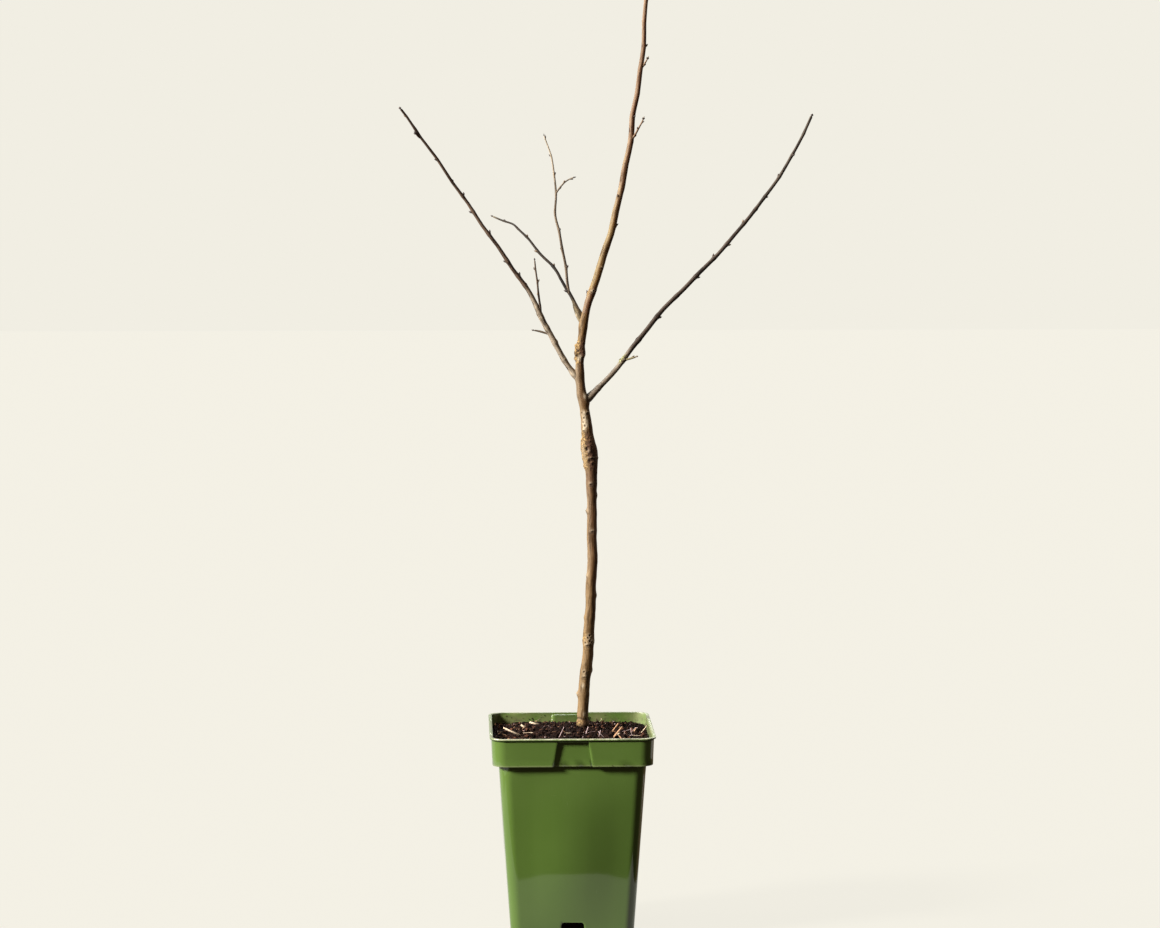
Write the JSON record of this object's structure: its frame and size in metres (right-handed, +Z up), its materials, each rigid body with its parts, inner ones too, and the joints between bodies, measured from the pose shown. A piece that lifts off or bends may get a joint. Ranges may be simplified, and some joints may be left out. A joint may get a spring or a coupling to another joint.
{
  "type": "potted bare young tree",
  "caption": "Leafless young grafted tree with a slim stem and open thin boughs, standing in a tall square tapered green plastic nursery pot filled with soil.",
  "frame": {"origin": "centre of the pot's flat underside, on the surface that the pot stands on", "axes": "+Z up along the plant, -Y towards the front of the pot with the label recess, +X to the right seen from the front"},
  "size_m": [0.4627, 0.1967, 1.1501],
  "materials": {
    "pot_plastic": "satin",
    "potting_soil": "matte",
    "trunk_bark": "matte",
    "bough_bark": "matte",
    "twig_bark": "matte"
  },
  "bodies": {
    "root": {"pot": "pot_plastic", "soil": "potting_soil", "trunk": "trunk_bark", "leader": "bough_bark", "right_bough": "bough_bark", "left_bough": "bough_bark", "upper_left_bough": "bough_bark", "leader_twigs": "twig_bark", "right_bough_twigs": "twig_bark", "left_bough_twigs": "twig_bark", "upper_left_bough_twigs": "twig_bark", "upright_twigs": "twig_bark", "left_rising_twigs": "twig_bark", "left_spur_twigs": "twig_bark", "right_spur_twigs": "twig_bark"}
  },
  "joints": []
}
